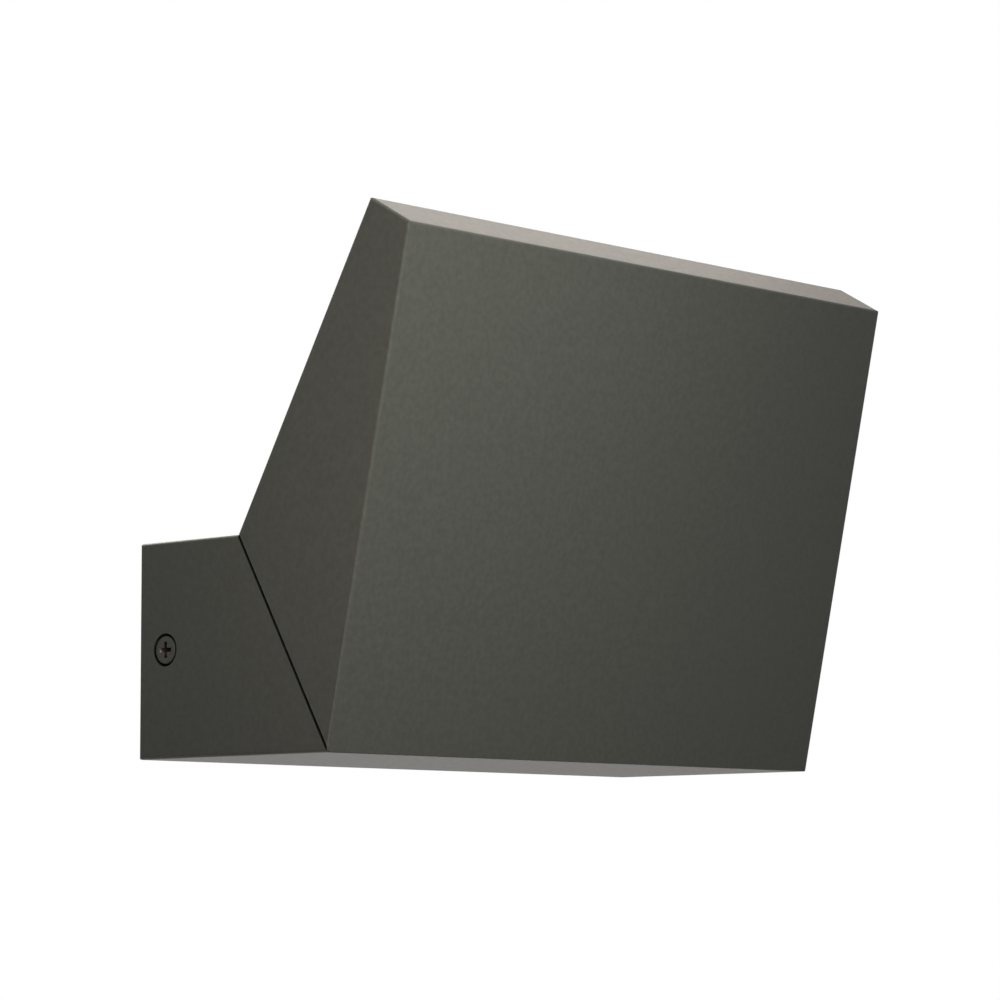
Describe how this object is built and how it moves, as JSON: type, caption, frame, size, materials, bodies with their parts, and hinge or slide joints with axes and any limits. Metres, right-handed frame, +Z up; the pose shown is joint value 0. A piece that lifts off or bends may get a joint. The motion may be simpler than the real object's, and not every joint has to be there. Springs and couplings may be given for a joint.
{
  "type": "outdoor wall light",
  "caption": "Outdoor wall light with a shallow wall box and a wedge-shaped head that swivels on a slanted seam to throw its light up or down.",
  "frame": {"origin": "on the wall plane, midway between the two fixing slots of the wall bracket", "axes": "+X across the light, +Y into the wall, +Z up; the light stands on the -Y side of the wall, drawn with its head turned up"},
  "size_m": [0.206, 0.1034, 0.1463],
  "materials": {
    "cast_coat": "cast aluminium under fine-textured dark grey-green powder coat",
    "frame_coat": "aluminium sheet under dark grey-green powder coat",
    "screw_coat": "stainless steel, blackened",
    "zinc_steel": "bright zinc-plated steel",
    "stainless": "bright stainless steel",
    "brass": "plain brass",
    "seal_rubber": "black silicone rubber",
    "thermal_rubber": "soft heat-conducting silicone sheet",
    "glide_nylon": "natural acetal",
    "block_nylon": "white nylon",
    "driver_case": "white matt moulded case, potted",
    "mains_pvc": "brown and blue wire insulation",
    "earth_pvc": "green and yellow wire insulation",
    "led_pvc": "white round sheathed lead",
    "board_white": "aluminium-core board under white solder mask",
    "chip_phosphor": "yellow phosphor in a white package",
    "connector_white": "white nylon",
    "reflector_white": "aluminium sheet under matt white paint",
    "frosted_glass": "toughened glass, satin etched on its inner face"
  },
  "bodies": {
    "wall_box": {"wall_bracket": "zinc_steel", "weld_nuts": "zinc_steel", "cable_grommet": "seal_rubber", "back_box": "cast_coat", "wall_gasket": "seal_rubber", "side_screws": "screw_coat", "terminal_block": "block_nylon", "terminal_clamps": "brass", "terminal_screws": "zinc_steel", "block_screws": "zinc_steel", "earth_screw": "stainless", "earth_tag": "zinc_steel", "earth_lead": "earth_pvc", "led_driver": "driver_case", "driver_screws": "zinc_steel", "mains_leads": "mains_pvc", "box_led_lead": "led_pvc", "glide_ring": "glide_nylon", "swivel_o_ring": "seal_rubber", "friction_washer": "glide_nylon"},
    "head": {"swivel_spigot": "stainless", "flange_gasket": "seal_rubber", "disc_spring": "stainless", "swivel_nut": "stainless", "stop_pin": "stainless", "head_shell": "cast_coat", "head_led_lead": "led_pvc", "thermal_pad": "thermal_rubber", "led_board": "board_white", "led_chips": "chip_phosphor", "board_connector": "connector_white", "board_screws": "stainless", "reflector": "reflector_white", "glass_gasket": "seal_rubber", "diffuser_glass": "frosted_glass", "glass_frame": "frame_coat", "frame_screws": "stainless"}
  },
  "joints": [
    {"name": "head_swivel", "type": "hinge", "parent": "wall_box", "child": "head", "pos_m": [0, -0.05632, 0], "axis": [0, -0.866, 0.5], "range_deg": [0, 180]}
  ]
}
